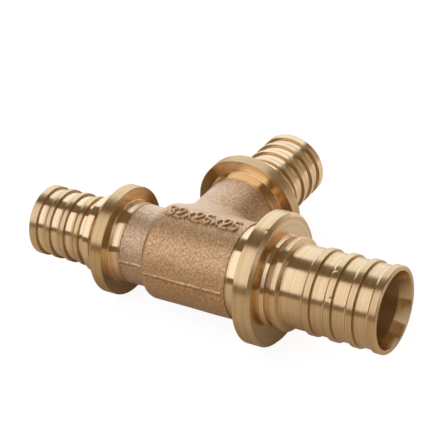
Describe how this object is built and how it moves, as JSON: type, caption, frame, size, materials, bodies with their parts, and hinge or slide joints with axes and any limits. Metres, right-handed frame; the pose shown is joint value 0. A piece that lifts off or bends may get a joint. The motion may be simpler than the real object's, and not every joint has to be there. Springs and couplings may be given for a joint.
{
  "type": "pex reducing tee",
  "caption": "Cast and turned bronze reducing tee: a run with one larger and one smaller ribbed pipe insert, and a smaller ribbed branch, each behind a round collar.",
  "frame": {"origin": "the point where the centre line of the run and the centre line of the branch cross", "axes": "+X along the run towards its larger mouth, +Y along the branch towards its mouth, +Z square to both centre lines"},
  "size_m": [0.1181, 0.0806, 0.04],
  "materials": {
    "bronze": "sand-cast body with bright turned ends"
  },
  "bodies": {
    "root": {"tee_body": "bronze"}
  },
  "joints": []
}
